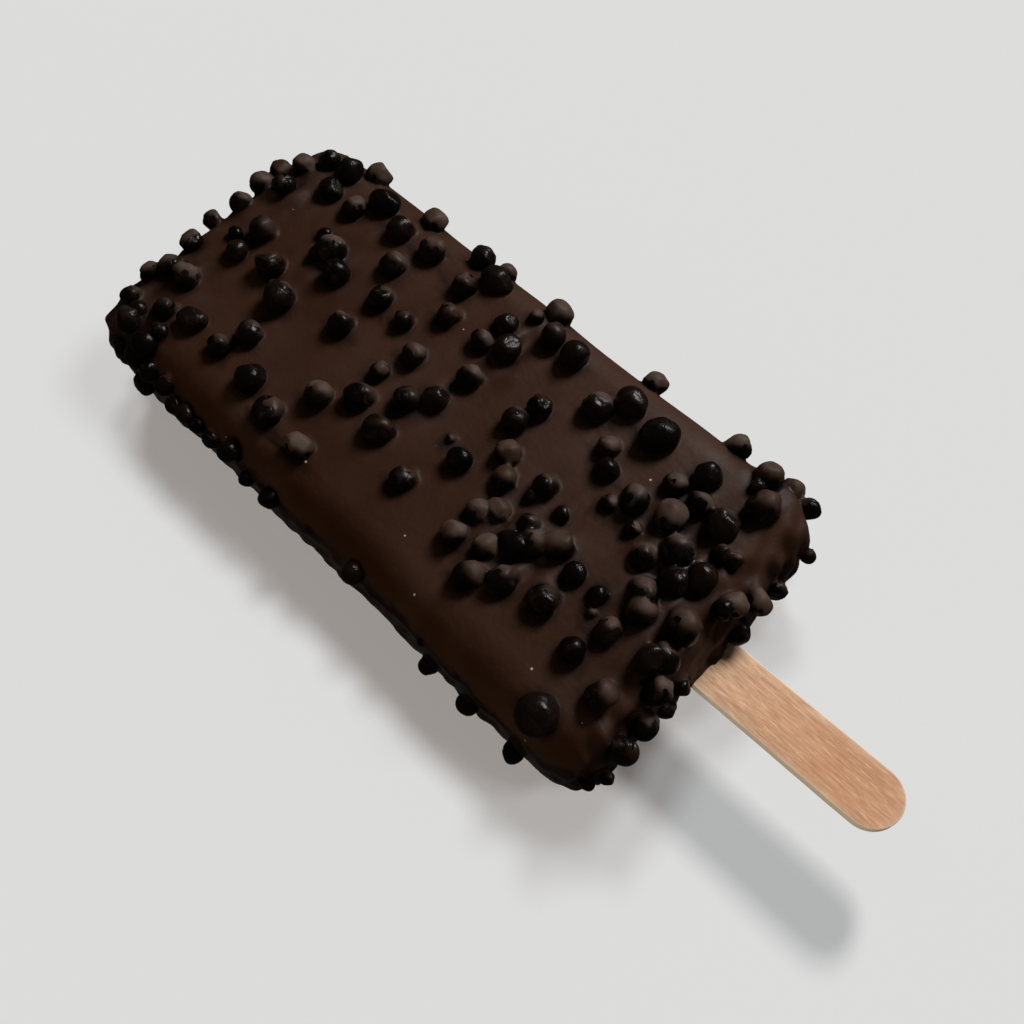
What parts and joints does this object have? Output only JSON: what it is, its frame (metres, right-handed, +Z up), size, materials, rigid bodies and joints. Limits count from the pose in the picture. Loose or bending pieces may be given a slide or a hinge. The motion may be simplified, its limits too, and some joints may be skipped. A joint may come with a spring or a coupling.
{
  "type": "ice cream bar",
  "caption": "Dark chocolate coated ice cream bar with crunchy balls set all over its coating, on a flat round-ended wooden stick, lying on its broad face.",
  "frame": {"origin": "middle of the whole thing in plan, bar and stick together, on the surface that the bar lies on", "axes": "+X along the bar from its plain end towards the stick, +Y across its width, +Z up out of the broad face that shows"},
  "size_m": [0.1506, 0.062, 0.0291],
  "materials": {
    "chocolate_coating": "dark chocolate coating, satin, greyer where it is frosted, with near-black glossy balls in it",
    "birch_wood": "plain unvarnished birch, fine lengthwise grain"
  },
  "bodies": {
    "root": {"coated_bar": "chocolate_coating", "stick": "birch_wood"}
  },
  "joints": []
}
